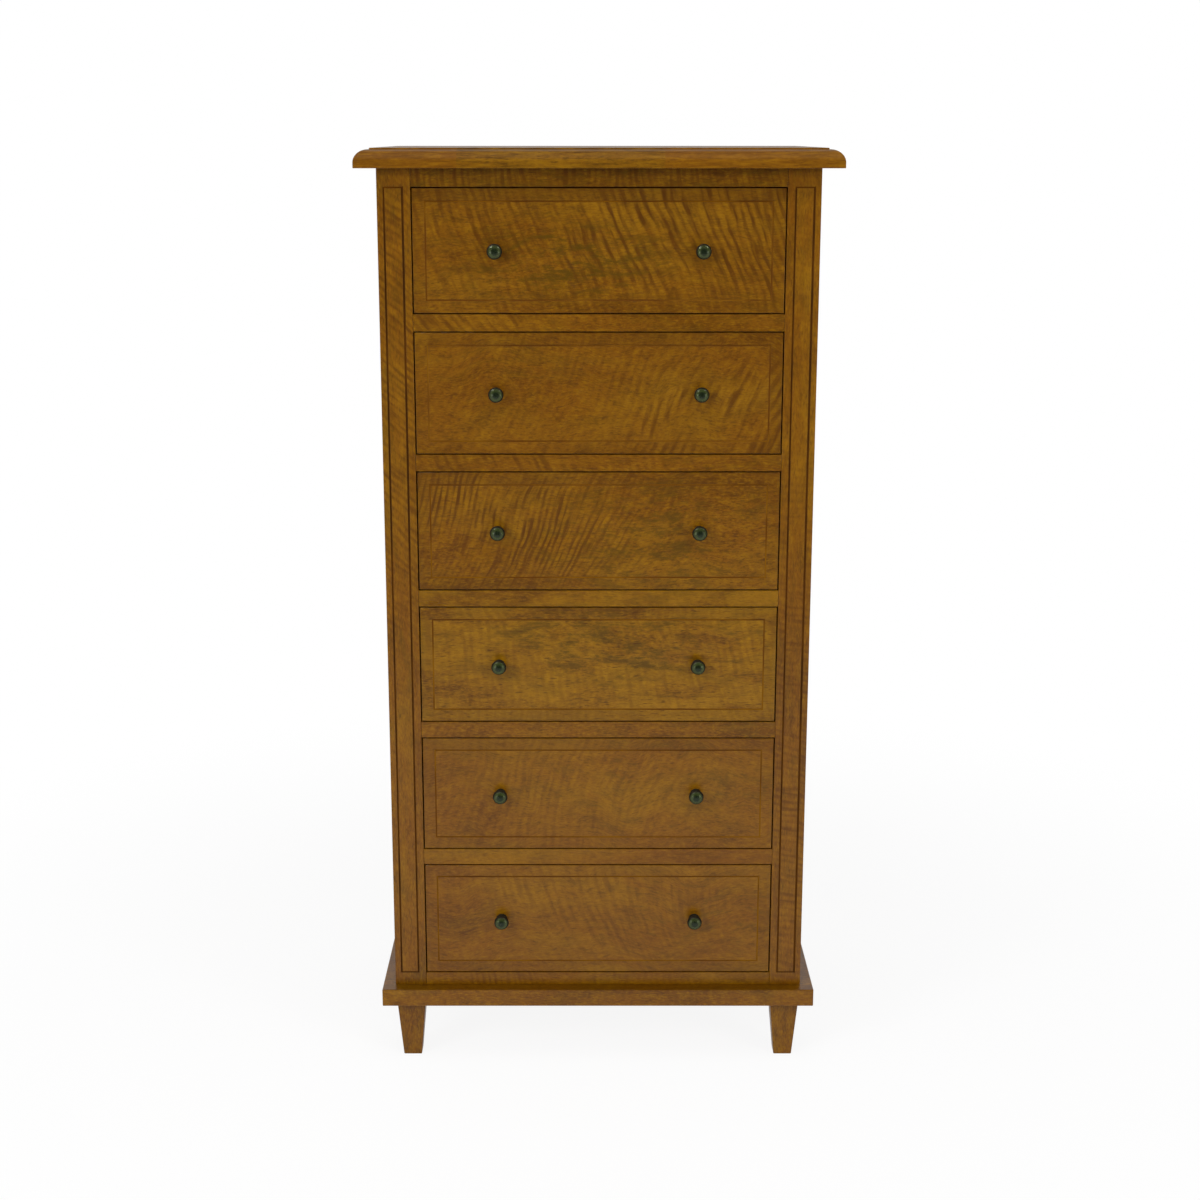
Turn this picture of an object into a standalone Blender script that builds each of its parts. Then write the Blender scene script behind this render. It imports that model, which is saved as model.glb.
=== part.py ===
"""Tall chest of six drawers on a plinth with four tapered feet, at rest with every drawer shut.

Metres, +Z up, and the drawers slide out towards -Y. The origin is on the floor, below the middle
of the top slab.
"""

import math

import bmesh
import bpy
from mathutils import Matrix, Vector

# Case
BODY_WIDTH = 0.622
BODY_DEPTH = 0.428
SIDE_THICKNESS = 0.020
STILE_WIDTH = 0.0473
STILE_THICKNESS = 0.022
BACK_THICKNESS = 0.006
BACK_REBATE = 0.010
HOUSING_DEPTH = 0.006

# Rails, the boards behind them and the drawer openings, from the top of the case down
DRAWER_COUNT = 6
TOP_RAIL_HEIGHT = 0.0256
OPENING_HEIGHT = 0.1769
RAIL_HEIGHT = 0.0240
BOTTOM_RAIL_HEIGHT = 0.0201
BOARD_THICKNESS = 0.012
GUIDE_HEIGHT = 0.012
GUIDE_SETBACK = 0.012

# Line cut into the face of each stile, level with the drawer openings
STILE_LINE_WIDTH = 0.0020
STILE_LINE_DEPTH = 0.0015
STILE_LINE_OUTER = 0.0097
STILE_LINE_INNER = 0.0359

# Top slab: a plain lip, a quarter round, a small step and the flat top
TOP_OVERHANG = 0.029
TOP_LIP = 0.0075
TOP_ROUND_RISE = 0.018
TOP_ROUND_RUN = 0.0195
TOP_STEP_RISE = 0.002
TOP_STEP_RUN = 0.0015
TOP_ROUND_STEPS = 8

# Plinth and feet
PLINTH_THICKNESS = 0.027
PLINTH_LEDGE = 0.019
PLINTH_EASE = 0.0012
FOOT_HEIGHT = 0.094
FOOT_TOP_WIDTH = 0.044
FOOT_TOE_WIDTH = 0.0275
FOOT_INSET = 0.0205
FOOT_EASE = 0.0012
TENON_DIAMETER = 0.024
TENON_LENGTH = 0.018
TENON_SIDES = 24

# Drawers
FRONT_THICKNESS = 0.020
DRAWER_SIDE_THICKNESS = 0.012
DRAWER_BACK_THICKNESS = 0.012
DRAWER_BOTTOM_THICKNESS = 0.006
BOTTOM_RISE = 0.010
BOTTOM_GROOVE = 0.006
BACK_HOUSING = 0.004
BACK_DROP = 0.006
BACK_INSET = 0.010
TAIL_COUNT = 4
TAIL_LENGTH = 0.012
TAIL_ROOT_WIDTH = 0.025
TAIL_SLOPE = 1 / 7
BORDER_LINE_INSET = 0.0181
BORDER_LINE_WIDTH = 0.0010
BORDER_LINE_DEPTH = 0.0006

# Knobs: radii and heights above the drawer's face
KNOB_SPACING = 0.293
KNOB_BASE_RADIUS = 0.0070
KNOB_BASE_HEIGHT = 0.0025
KNOB_NECK_RADIUS = 0.0045
KNOB_HEAD_RADIUS = 0.0110
KNOB_HEAD_START = 0.0080
KNOB_HEAD_HEIGHT = 0.0150
KNOB_HEAD_STEPS = 8
KNOB_SHANK_RADIUS = 0.0025
KNOB_SHANK_LENGTH = 0.0140
KNOB_SIDES = 20

# Clearances
FIT = 0.0003
REVEAL = 0.0018
HEADROOM = 0.004
SPACE_BEHIND_DRAWER = 0.022
CUT_PAST = 0.002

# Places worked out from the sizes above
BODY_HEIGHT = (
    TOP_RAIL_HEIGHT
    + DRAWER_COUNT * OPENING_HEIGHT
    + (DRAWER_COUNT - 1) * RAIL_HEIGHT
    + BOTTOM_RAIL_HEIGHT
)
BODY_BOTTOM = FOOT_HEIGHT + PLINTH_THICKNESS
BODY_TOP = BODY_BOTTOM + BODY_HEIGHT
HALF_WIDTH = BODY_WIDTH / 2
INNER_HALF = HALF_WIDTH - SIDE_THICKNESS
OPENING_HALF = HALF_WIDTH - STILE_WIDTH
BACK = (BODY_DEPTH + TOP_OVERHANG) / 2
FRONT = BACK - BODY_DEPTH
BEHIND_STILE = FRONT + STILE_THICKNESS
BACK_PANEL_FACE = BACK - BACK_THICKNESS
FIRST_OPENING_TOP = BODY_TOP - TOP_RAIL_HEIGHT
LAST_OPENING_BOTTOM = BODY_BOTTOM + BOTTOM_RAIL_HEIGHT

# Drawer places, from the middle of the foot of its opening, in the plane of the drawer fronts
DRAWER_HALF = OPENING_HALF - REVEAL
DRAWER_INNER_HALF = DRAWER_HALF - DRAWER_SIDE_THICKNESS
SIDE_TOP = OPENING_HEIGHT - HEADROOM
DRAWER_LENGTH = BACK_PANEL_FACE - SPACE_BEHIND_DRAWER - FRONT
BOTTOM_TOP = BOTTOM_RISE + DRAWER_BOTTOM_THICKNESS
DRAWER_BACK_START = DRAWER_LENGTH - BACK_INSET - DRAWER_BACK_THICKNESS
KNOB_LEVEL = OPENING_HEIGHT / 2

# How the plane of a flat outline stands: the outline is drawn in x and y and thickened along z
SEEN_FROM_FRONT = Matrix.Rotation(math.pi / 2, 4, "X")
SEEN_FROM_SIDE = Matrix(((0, 0, 1, 0), (1, 0, 0, 0), (0, 1, 0, 0), (0, 0, 0, 1)))


def clear_scene():
    for obj in list(bpy.data.objects):
        bpy.data.objects.remove(obj, do_unlink=True)


def make_collection(name):
    collection = bpy.data.collections.new(name)
    bpy.context.scene.collection.children.link(collection)
    return collection


def make_material(name, colour, roughness, metallic=0.0):
    material = bpy.data.materials.new(name)
    material.use_nodes = True
    shader = material.node_tree.nodes["Principled BSDF"]
    shader.inputs["Base Color"].default_value = (*colour, 1.0)
    shader.inputs["Roughness"].default_value = roughness
    shader.inputs["Metallic"].default_value = metallic
    return material


def mesh_from(shape):
    """The finished mesh of a bmesh, which is freed."""
    bmesh.ops.recalc_face_normals(shape, faces=shape.faces)
    mesh = bpy.data.meshes.new("shape")
    shape.to_mesh(mesh)
    shape.free()
    return mesh


def box(low, high, ease=0.0):
    """An upright block between two corners, with its edges rounded by ease."""
    low = Vector(low)
    high = Vector(high)
    shape = bmesh.new()
    bmesh.ops.create_cube(shape, size=1.0)
    bmesh.ops.scale(shape, vec=high - low, verts=shape.verts)
    bmesh.ops.translate(shape, vec=(low + high) / 2, verts=shape.verts)
    if ease:
        bmesh.ops.bevel(shape, geom=shape.edges, offset=ease, segments=2, profile=0.5, affect="EDGES")
    return mesh_from(shape)


def mirrored_boxes(low, high):
    """The same block on the right and, mirrored in x, on the left."""
    right = box(low, high)
    left = box((-high[0], low[1], low[2]), (-low[0], high[1], high[2]))
    return [left, right]


def evaluated_mesh(data, add_modifiers=None):
    """The mesh that Blender makes of a mesh or curve, with any modifiers, welded and facing out."""
    holder = bpy.data.objects.new("holder", data)
    bpy.context.scene.collection.objects.link(holder)
    if add_modifiers:
        add_modifiers(holder)
    graph = bpy.context.evaluated_depsgraph_get()
    mesh = bpy.data.meshes.new_from_object(holder.evaluated_get(graph))
    bpy.data.objects.remove(holder)
    shape = bmesh.new()
    shape.from_mesh(mesh)
    bmesh.ops.remove_doubles(shape, verts=shape.verts, dist=1e-6)
    return mesh_from(shape)


def prism(outlines, start, end, stance=None):
    """Flat outlines, holes included, filled and thickened from start to end along their plane's z."""
    curve = bpy.data.curves.new("outline", "CURVE")
    curve.dimensions = "2D"
    curve.fill_mode = "BOTH"
    curve.extrude = (end - start) / 2
    for outline in outlines:
        spline = curve.splines.new("POLY")
        spline.points.add(len(outline) - 1)
        for point, (x, y) in zip(spline.points, outline):
            point.co = (x, y, 0, 1)
        spline.use_cyclic_u = True
    mesh = evaluated_mesh(curve)
    mesh.transform(Matrix.Translation((0, 0, (start + end) / 2)))
    if stance:
        mesh.transform(stance)
    return mesh


def rectangle(low, high):
    return [(low[0], low[1]), (high[0], low[1]), (high[0], high[1]), (low[0], high[1])]


def line_cutter(low, high, width, start, end):
    """A rectangular line of this width, centred on the rectangle, to be cut into a front face."""
    half = width / 2
    outer = rectangle((low[0] - half, low[1] - half), (high[0] + half, high[1] + half))
    inner = rectangle((low[0] + half, low[1] + half), (high[0] - half, high[1] - half))
    return prism([outer, inner], start, end, SEEN_FROM_FRONT)


def boolean(mesh, tools, operation):
    """The mesh after each tool mesh is cut from it or joined to it."""
    helpers = []

    def add_modifiers(holder):
        for tool in tools:
            helper = bpy.data.objects.new("tool", tool)
            bpy.context.scene.collection.objects.link(helper)
            helpers.append(helper)
            modifier = holder.modifiers.new("tool", "BOOLEAN")
            modifier.operation = operation
            modifier.solver = "EXACT"
            modifier.object = helper

    result = evaluated_mesh(mesh, add_modifiers)
    for helper in helpers:
        bpy.data.objects.remove(helper)
    return result


def carve(mesh, cutters):
    return boolean(mesh, cutters, "DIFFERENCE")


def join(mesh, additions):
    return boolean(mesh, additions, "UNION")


def turned(profile, sides):
    """A body turned about z from (radius, height) points that run from the top down."""
    mesh = bpy.data.meshes.new("profile")
    points = [(radius, 0, height) for radius, height in profile]
    edges = [(index, index + 1) for index in range(len(points) - 1)]
    mesh.from_pydata(points, edges, [])

    def add_screw(holder):
        screw = holder.modifiers.new("turn", "SCREW")
        screw.steps = sides
        screw.render_steps = sides
        screw.use_merge_vertices = True
        screw.merge_threshold = 1e-5

    return evaluated_mesh(mesh, add_screw)


def upright_cylinder(radius, bottom, top, place, sides):
    shape = bmesh.new()
    bmesh.ops.create_cone(
        shape, cap_ends=True, segments=sides, radius1=radius, radius2=radius, depth=top - bottom
    )
    bmesh.ops.translate(shape, vec=(*place, (bottom + top) / 2), verts=shape.verts)
    return mesh_from(shape)


def opening_bottom(number):
    """Height of the foot of a drawer's opening; drawer 1 is at the top."""
    return FIRST_OPENING_TOP - OPENING_HEIGHT - (number - 1) * (OPENING_HEIGHT + RAIL_HEIGHT)


def board_tops():
    """Height of the upper face of each rail and its board, from the top of the case down."""
    dividers = [opening_bottom(number) for number in range(1, DRAWER_COUNT + 1)]
    return [BODY_TOP - FIT, *dividers]


def moulded_slab():
    """Top slab, raised ring by ring from its lip; the moulding runs along the front and the sides."""
    half = HALF_WIDTH + TOP_OVERHANG
    shape = bmesh.new()
    shape.from_mesh(box((-half, FRONT - TOP_OVERHANG, BODY_TOP), (half, BACK, BODY_TOP + TOP_LIP)))
    face = max(shape.faces, key=lambda side: side.calc_center_median().z)
    for inset, level in slab_profile():
        ring = bmesh.ops.extrude_face_region(shape, geom=[face])["geom"]
        bmesh.ops.delete(shape, geom=[face], context="FACES_ONLY")
        for vert in (item for item in ring if isinstance(item, bmesh.types.BMVert)):
            vert.co.x = math.copysign(half - inset, vert.co.x)
            vert.co.z = level
            if vert.co.y < 0:
                vert.co.y = FRONT - TOP_OVERHANG + inset
        face = next(item for item in ring if isinstance(item, bmesh.types.BMFace))
    return mesh_from(shape)


def slab_profile():
    """(inset, height) of each ring of the top slab above its lip."""
    rings = []
    for step in range(1, TOP_ROUND_STEPS + 1):
        angle = step / TOP_ROUND_STEPS * math.pi / 2
        inset = TOP_ROUND_RUN * (1 - math.cos(angle))
        rings.append((inset, BODY_TOP + TOP_LIP + TOP_ROUND_RISE * math.sin(angle)))
    step_inset = TOP_ROUND_RUN + TOP_STEP_RUN
    step_level = BODY_TOP + TOP_LIP + TOP_ROUND_RISE
    return [*rings, (step_inset, step_level), (step_inset, step_level + TOP_STEP_RISE)]


def case_side(right):
    """Side board with a housing for each board and a rebate for the back panel."""
    blank = box(
        (INNER_HALF, BEHIND_STILE + FIT, BODY_BOTTOM + FIT), (HALF_WIDTH, BACK, BODY_TOP - FIT)
    )
    cutters = [
        box(
            (INNER_HALF - CUT_PAST, BEHIND_STILE - CUT_PAST, top - BOARD_THICKNESS - FIT),
            (INNER_HALF + HOUSING_DEPTH, BACK + CUT_PAST, top + FIT),
        )
        for top in board_tops()
    ]
    cutters.append(
        box(
            (INNER_HALF - CUT_PAST, BACK_PANEL_FACE - FIT, BODY_BOTTOM - CUT_PAST),
            (INNER_HALF + BACK_REBATE, BACK + CUT_PAST, BODY_TOP + CUT_PAST),
        )
    )
    mesh = carve(blank, cutters)
    return mesh if right else mirror(mesh)


def mirror(mesh):
    """The same mesh on the other side of the middle plane."""
    copy = mesh.copy()
    copy.transform(Matrix.Scale(-1, 4, (1, 0, 0)))
    copy.flip_normals()
    return copy


def front_stile(right):
    """Stile with a rectangular line cut into its face from the first opening to the last."""
    blank = box(
        (OPENING_HALF, FRONT, BODY_BOTTOM + FIT), (HALF_WIDTH, BEHIND_STILE, BODY_TOP - FIT)
    )
    line = line_cutter(
        (HALF_WIDTH - STILE_LINE_INNER, LAST_OPENING_BOTTOM + REVEAL / 2),
        (HALF_WIDTH - STILE_LINE_OUTER, FIRST_OPENING_TOP - REVEAL / 2),
        STILE_LINE_WIDTH,
        -FRONT - STILE_LINE_DEPTH,
        -FRONT + CUT_PAST,
    )
    mesh = carve(blank, [line])
    return mesh if right else mirror(mesh)


def back_panel():
    half = INNER_HALF + BACK_REBATE - FIT
    return box((-half, BACK_PANEL_FACE, BODY_BOTTOM + FIT), (half, BACK, BODY_TOP - FIT))


def rail_board(top, rail_height, guided):
    """A rail between the stiles with its board behind, and the guides of the drawer that runs on it."""
    rail_half = OPENING_HALF - FIT
    board_half = INNER_HALF + HOUSING_DEPTH - FIT
    shoulder = BEHIND_STILE + FIT
    end = BACK_PANEL_FACE - 2 * FIT
    bottom = top - rail_height
    blank = box((-board_half, FRONT, bottom), (board_half, end, top))
    notches = mirrored_boxes(
        (rail_half, FRONT - CUT_PAST, bottom - CUT_PAST), (HALF_WIDTH, shoulder, top + CUT_PAST)
    )
    under_board = box(
        (-HALF_WIDTH, BEHIND_STILE, bottom - CUT_PAST), (HALF_WIDTH, BACK, top - BOARD_THICKNESS)
    )
    mesh = carve(blank, [*notches, under_board])
    if not guided:
        return mesh
    guides = mirrored_boxes(
        (OPENING_HALF, shoulder + GUIDE_SETBACK, top - BOARD_THICKNESS / 2),
        (INNER_HALF - FIT, end - GUIDE_SETBACK, top + GUIDE_HEIGHT),
    )
    return join(mesh, guides)


def foot_places():
    """Name and middle of each foot, in plan."""
    across = HALF_WIDTH + PLINTH_LEDGE - FOOT_INSET - FOOT_TOP_WIDTH / 2
    ahead = FRONT - PLINTH_LEDGE + FOOT_INSET + FOOT_TOP_WIDTH / 2
    behind = BACK - FOOT_INSET - FOOT_TOP_WIDTH / 2
    return {
        "foot_front_left": (-across, ahead),
        "foot_front_right": (across, ahead),
        "foot_back_left": (-across, behind),
        "foot_back_right": (across, behind),
    }


def plinth_board():
    """Board under the case, bored for the tenon of each foot."""
    half = HALF_WIDTH + PLINTH_LEDGE
    blank = box(
        (-half, FRONT - PLINTH_LEDGE, FOOT_HEIGHT), (half, BACK, BODY_BOTTOM), ease=PLINTH_EASE
    )
    bottom = FOOT_HEIGHT - CUT_PAST
    top = FOOT_HEIGHT + TENON_LENGTH + FIT
    radius = TENON_DIAMETER / 2 + FIT
    sockets = [
        upright_cylinder(radius, bottom, top, place, TENON_SIDES) for place in foot_places().values()
    ]
    return carve(blank, sockets)


def foot():
    """Square foot, tapered on all four sides, with its tenon on top; its place is the origin."""
    shape = bmesh.new()
    height = FOOT_HEIGHT - FIT
    bmesh.ops.create_cone(
        shape,
        cap_ends=True,
        segments=4,
        radius1=FOOT_TOE_WIDTH / math.sqrt(2),
        radius2=FOOT_TOP_WIDTH / math.sqrt(2),
        depth=height,
    )
    bmesh.ops.rotate(shape, matrix=Matrix.Rotation(math.pi / 4, 3, "Z"), verts=shape.verts)
    bmesh.ops.translate(shape, vec=(0, 0, height / 2), verts=shape.verts)
    bmesh.ops.bevel(
        shape, geom=shape.edges, offset=FOOT_EASE, segments=2, profile=0.5, affect="EDGES"
    )
    tenon = upright_cylinder(
        TENON_DIAMETER / 2, height / 2, FOOT_HEIGHT + TENON_LENGTH, (0, 0), TENON_SIDES
    )
    return join(mesh_from(shape), [tenon])


def tails(shoulder, grow):
    """Points of the dovetails on the front end of a drawer side, from its foot up, in (y, z)."""
    pitch = (SIDE_TOP - FIT) / TAIL_COUNT
    tip = FRONT_THICKNESS - TAIL_LENGTH - grow
    root_half = TAIL_ROOT_WIDTH / 2 + grow
    tip_half = root_half + (shoulder - tip) * TAIL_SLOPE
    points = []
    for number in range(TAIL_COUNT):
        middle = FIT + (number + 0.5) * pitch
        points += [
            (shoulder, middle - root_half),
            (tip, middle - tip_half),
            (tip, middle + tip_half),
            (shoulder, middle + root_half),
        ]
    return points


def bottom_cutter():
    """Drawer bottom with its clearance, open at the back, where it slides in."""
    half = DRAWER_INNER_HALF + BOTTOM_GROOVE
    return box(
        (-half, FRONT_THICKNESS - BOTTOM_GROOVE, BOTTOM_RISE - FIT),
        (half, DRAWER_LENGTH + CUT_PAST, BOTTOM_TOP + FIT),
    )


def drawer_front():
    """Front with its border line, dovetail sockets, bottom groove and the holes of the knobs."""
    blank = box((-DRAWER_HALF, 0, REVEAL), (DRAWER_HALF, FRONT_THICKNESS, OPENING_HEIGHT - REVEAL))
    edge = DRAWER_HALF - BORDER_LINE_INSET
    line = line_cutter(
        (-edge, REVEAL + BORDER_LINE_INSET),
        (edge, OPENING_HEIGHT - REVEAL - BORDER_LINE_INSET),
        BORDER_LINE_WIDTH,
        -BORDER_LINE_DEPTH,
        CUT_PAST,
    )
    rear = FRONT_THICKNESS + FIT
    comb = [*tails(rear, FIT), (rear + CUT_PAST, SIDE_TOP), (rear + CUT_PAST, 0)]
    socket = prism([comb], DRAWER_INNER_HALF - FIT, DRAWER_HALF + CUT_PAST, SEEN_FROM_SIDE)
    hole = turned(
        [
            (0, CUT_PAST),
            (KNOB_SHANK_RADIUS + FIT, CUT_PAST),
            (KNOB_SHANK_RADIUS + FIT, -KNOB_SHANK_LENGTH - FIT),
            (0, -KNOB_SHANK_LENGTH - FIT),
        ],
        KNOB_SIDES,
    )
    hole.transform(SEEN_FROM_FRONT)
    hole.transform(Matrix.Translation((KNOB_SPACING / 2, 0, KNOB_LEVEL)))
    cutters = [line, socket, mirror(socket), bottom_cutter(), hole, mirror(hole)]
    return carve(blank, cutters)


def drawer_side(right):
    """Side with dovetails at the front, a groove for the bottom and a housing for the back."""
    shoulder = FRONT_THICKNESS + FIT
    outline = [
        (DRAWER_LENGTH, FIT),
        (shoulder, FIT),
        *tails(shoulder, 0.0),
        (shoulder, SIDE_TOP),
        (DRAWER_LENGTH, SIDE_TOP),
    ]
    blank = prism([outline], DRAWER_INNER_HALF, DRAWER_HALF, SEEN_FROM_SIDE)
    housing = box(
        (DRAWER_INNER_HALF - CUT_PAST, DRAWER_BACK_START - FIT, BOTTOM_TOP),
        (
            DRAWER_INNER_HALF + BACK_HOUSING,
            DRAWER_BACK_START + DRAWER_BACK_THICKNESS + FIT,
            SIDE_TOP + CUT_PAST,
        ),
    )
    mesh = carve(blank, [bottom_cutter(), housing])
    return mesh if right else mirror(mesh)


def drawer_back():
    half = DRAWER_INNER_HALF + BACK_HOUSING - FIT
    return box(
        (-half, DRAWER_BACK_START, BOTTOM_TOP + FIT),
        (half, DRAWER_BACK_START + DRAWER_BACK_THICKNESS, SIDE_TOP - BACK_DROP),
    )


def drawer_bottom():
    half = DRAWER_INNER_HALF + BOTTOM_GROOVE - FIT
    return box(
        (-half, FRONT_THICKNESS - BOTTOM_GROOVE + FIT, BOTTOM_RISE), (half, DRAWER_LENGTH, BOTTOM_TOP)
    )


def knob():
    """Turned knob with a domed head on a neck and a flange; its shank goes into the drawer front."""
    middle = KNOB_HEAD_START + KNOB_HEAD_HEIGHT / 2
    neck_angle = math.asin(KNOB_NECK_RADIUS / KNOB_HEAD_RADIUS)
    profile = []
    for step in range(KNOB_HEAD_STEPS + 1):
        angle = step / KNOB_HEAD_STEPS * (math.pi - neck_angle)
        height = middle + KNOB_HEAD_HEIGHT / 2 * math.cos(angle)
        profile.append((KNOB_HEAD_RADIUS * math.sin(angle), height))
    profile += [
        (KNOB_NECK_RADIUS, KNOB_BASE_HEIGHT + FIT),
        (KNOB_BASE_RADIUS, KNOB_BASE_HEIGHT),
        (KNOB_BASE_RADIUS, FIT),
        (KNOB_SHANK_RADIUS, FIT),
        (KNOB_SHANK_RADIUS, -KNOB_SHANK_LENGTH),
        (0, -KNOB_SHANK_LENGTH),
    ]
    return turned(profile, KNOB_SIDES)


def place(name, mesh, material, collection, parent=None, location=(0, 0, 0), rotation=(0, 0, 0)):
    obj = bpy.data.objects.new(name, mesh)
    collection.objects.link(obj)
    obj.parent = parent
    obj.location = location
    obj.rotation_euler = rotation
    if not mesh.materials:
        mesh.materials.append(material)
    return obj


def add_case(collection, show_wood, plain_wood):
    place("top_slab", moulded_slab(), show_wood, collection)
    place("left_side_panel", case_side(False), show_wood, collection)
    place("right_side_panel", case_side(True), show_wood, collection)
    place("left_front_stile", front_stile(False), show_wood, collection)
    place("right_front_stile", front_stile(True), show_wood, collection)
    place("back_panel", back_panel(), plain_wood, collection)
    tops = board_tops()
    place("top_rail_board", rail_board(tops[0], TOP_RAIL_HEIGHT - FIT, False), show_wood, collection)
    for number, top in enumerate(tops[1:-1], start=1):
        name = f"divider_board_{number}"
        place(name, rail_board(top, RAIL_HEIGHT, True), show_wood, collection)
    bottom = rail_board(tops[-1], BOTTOM_RAIL_HEIGHT - FIT, True)
    place("bottom_rail_board", bottom, show_wood, collection)


def add_base(collection, show_wood):
    place("plinth_board", plinth_board(), show_wood, collection)
    foot_mesh = foot()
    for name, (across, along) in foot_places().items():
        place(name, foot_mesh, show_wood, collection, location=(across, along, 0))


def add_drawers(collection, show_wood, plain_wood, metal):
    """Six drawers alike, each on its own empty, which stands on the drawer's line of travel."""
    pieces = {
        "front": (drawer_front(), show_wood),
        "left_side": (drawer_side(False), plain_wood),
        "right_side": (drawer_side(True), plain_wood),
        "back": (drawer_back(), plain_wood),
        "bottom": (drawer_bottom(), plain_wood),
    }
    knob_mesh = knob()
    for number in range(1, DRAWER_COUNT + 1):
        drawer = bpy.data.objects.new(f"drawer_{number}", None)
        collection.objects.link(drawer)
        drawer.location = (0, FRONT, opening_bottom(number))
        for piece, (mesh, material) in pieces.items():
            place(f"drawer_{number}_{piece}", mesh, material, collection, drawer)
        for hand, across in (("left", -KNOB_SPACING / 2), ("right", KNOB_SPACING / 2)):
            place(
                f"drawer_{number}_{hand}_knob",
                knob_mesh,
                metal,
                collection,
                drawer,
                location=(across, 0, KNOB_LEVEL),
                rotation=(math.pi / 2, 0, 0),
            )


def main():
    clear_scene()
    collection = make_collection("chest_of_drawers")
    show_wood = make_material("figured_show_wood", (0.20, 0.10, 0.018), 0.38)
    plain_wood = make_material("plain_inner_wood", (0.50, 0.36, 0.20), 0.65)
    metal = make_material("aged_bronze", (0.065, 0.062, 0.042), 0.32, metallic=0.9)
    add_case(collection, show_wood, plain_wood)
    add_base(collection, show_wood)
    add_drawers(collection, show_wood, plain_wood, metal)


main()
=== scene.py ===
"""Looks of a tall chest of six drawers: figured veneer, eased edges, bronze knobs, plain studio."""

import math
from typing import NamedTuple

import bmesh
import bpy
from mathutils import Matrix, Vector


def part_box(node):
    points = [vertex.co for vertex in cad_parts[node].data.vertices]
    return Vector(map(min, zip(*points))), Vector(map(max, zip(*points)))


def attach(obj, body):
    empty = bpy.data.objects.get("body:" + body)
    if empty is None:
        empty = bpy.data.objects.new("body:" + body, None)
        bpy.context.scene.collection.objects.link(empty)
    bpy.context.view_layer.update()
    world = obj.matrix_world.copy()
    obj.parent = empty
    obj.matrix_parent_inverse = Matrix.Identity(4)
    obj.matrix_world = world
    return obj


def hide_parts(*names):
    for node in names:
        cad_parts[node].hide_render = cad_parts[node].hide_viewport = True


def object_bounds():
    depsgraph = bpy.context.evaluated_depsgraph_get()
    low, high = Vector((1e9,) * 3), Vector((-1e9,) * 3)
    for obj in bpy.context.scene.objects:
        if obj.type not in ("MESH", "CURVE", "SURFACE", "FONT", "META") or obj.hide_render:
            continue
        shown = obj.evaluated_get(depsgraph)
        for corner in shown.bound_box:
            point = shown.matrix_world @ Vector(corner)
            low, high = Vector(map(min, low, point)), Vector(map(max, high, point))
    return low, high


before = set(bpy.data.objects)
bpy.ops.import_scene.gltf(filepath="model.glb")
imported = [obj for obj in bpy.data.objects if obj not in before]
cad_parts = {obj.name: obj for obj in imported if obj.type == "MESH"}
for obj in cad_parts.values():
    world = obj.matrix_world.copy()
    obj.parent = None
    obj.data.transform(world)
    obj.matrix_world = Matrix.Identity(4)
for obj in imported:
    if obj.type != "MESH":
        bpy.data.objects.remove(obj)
CAD_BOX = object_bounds()

bl_info = {
    "name": "Tall chest of drawers",
    "version": (1, 0, 0),
    "blender": (4, 5, 0),
    "location": "View3D > Sidebar > Chest",
    "description": "Finishes the pieces of a tall chest of six drawers and sets up its studio",
    "category": "Object",
}

CASE = "case"
DRAWERS = range(1, 7)
HANDS = ("left", "right")
WHITE = (1.0, 1.0, 1.0, 1.0)

# Points closer than the weld, and faces that meet at less than the flat angle, are one.
WELD = 1e-5
FLAT_ANGLE = math.radians(1)
SMOOTH_ANGLE = math.radians(38)

# Outer edges sharper than this, and longer than the piece's limit, are eased.
SHARP_ANGLE = math.radians(50)
EASE_STEPS = 2
PLAIN_EASE = 0.0006
RAIL_EASE = 0.0004
FRONT_EASE = 0.0007
PLAIN_LIMIT = 0.010
STILE_LIMIT = 0.030
DRAWER_LIMIT = 0.100

# Steps of the round shapes.
ROUND_STEPS = 28
COVE_STEPS = 8
RIM_STEPS = 6
KNOB_SIDES = 48

# Faces this far behind a front, and this far from its edges, belong to an incised line.
# Those this close to the top of the front belong to its uppermost line.
LINE_SKIN = 0.00003
LINE_REACH = 0.0020
LINE_MARGIN = 0.0040
UPPER_LINE = 0.0300

# Dark tint beside a line, and painted shade beside an edge: where it starts, where it is full, and its
# strength.
FRONT_LINE_SHADE = (0.0018, 0.0006, 0.10)
FRONT_EDGE_SHADE = (0.0020, 0.0002, 0.12)
STILE_LINE_SHADE = (0.0022, 0.0010, 0.12)

# The upper face of the plinth, to this depth, is the ledge round the case.
LEDGE_SKIN = 0.0010

# A seed moves a piece to another place of the sheet; the strides are the move along each axis.
SHEET_STRIDE = (3.17, 1.71, 2.39)
BARE_STRIDE = (2.3, 1.9, 0.7)
RAIL_SEED = 11
TOP_SEED = 21
SIDE_SEED = 31
STILE_SEED = 41
PLINTH_SEED = 51
FOOT_SEED = 52

# How far along and across the sheet the strips of a border, and the field of a stile, are cut.
END_STRIP_CUT = (0.83, 0.41)
SIDE_STRIP_CUT = (1.57, 0.67)
STILE_FIELD_CUT = (0.47, 0.29)

# A focus is where a marking is strongest: its middle and its reach, along and across the grain, in metres.
FAR = 9.0
EVERYWHERE = (0.0, 0.0, FAR, FAR)


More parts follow.
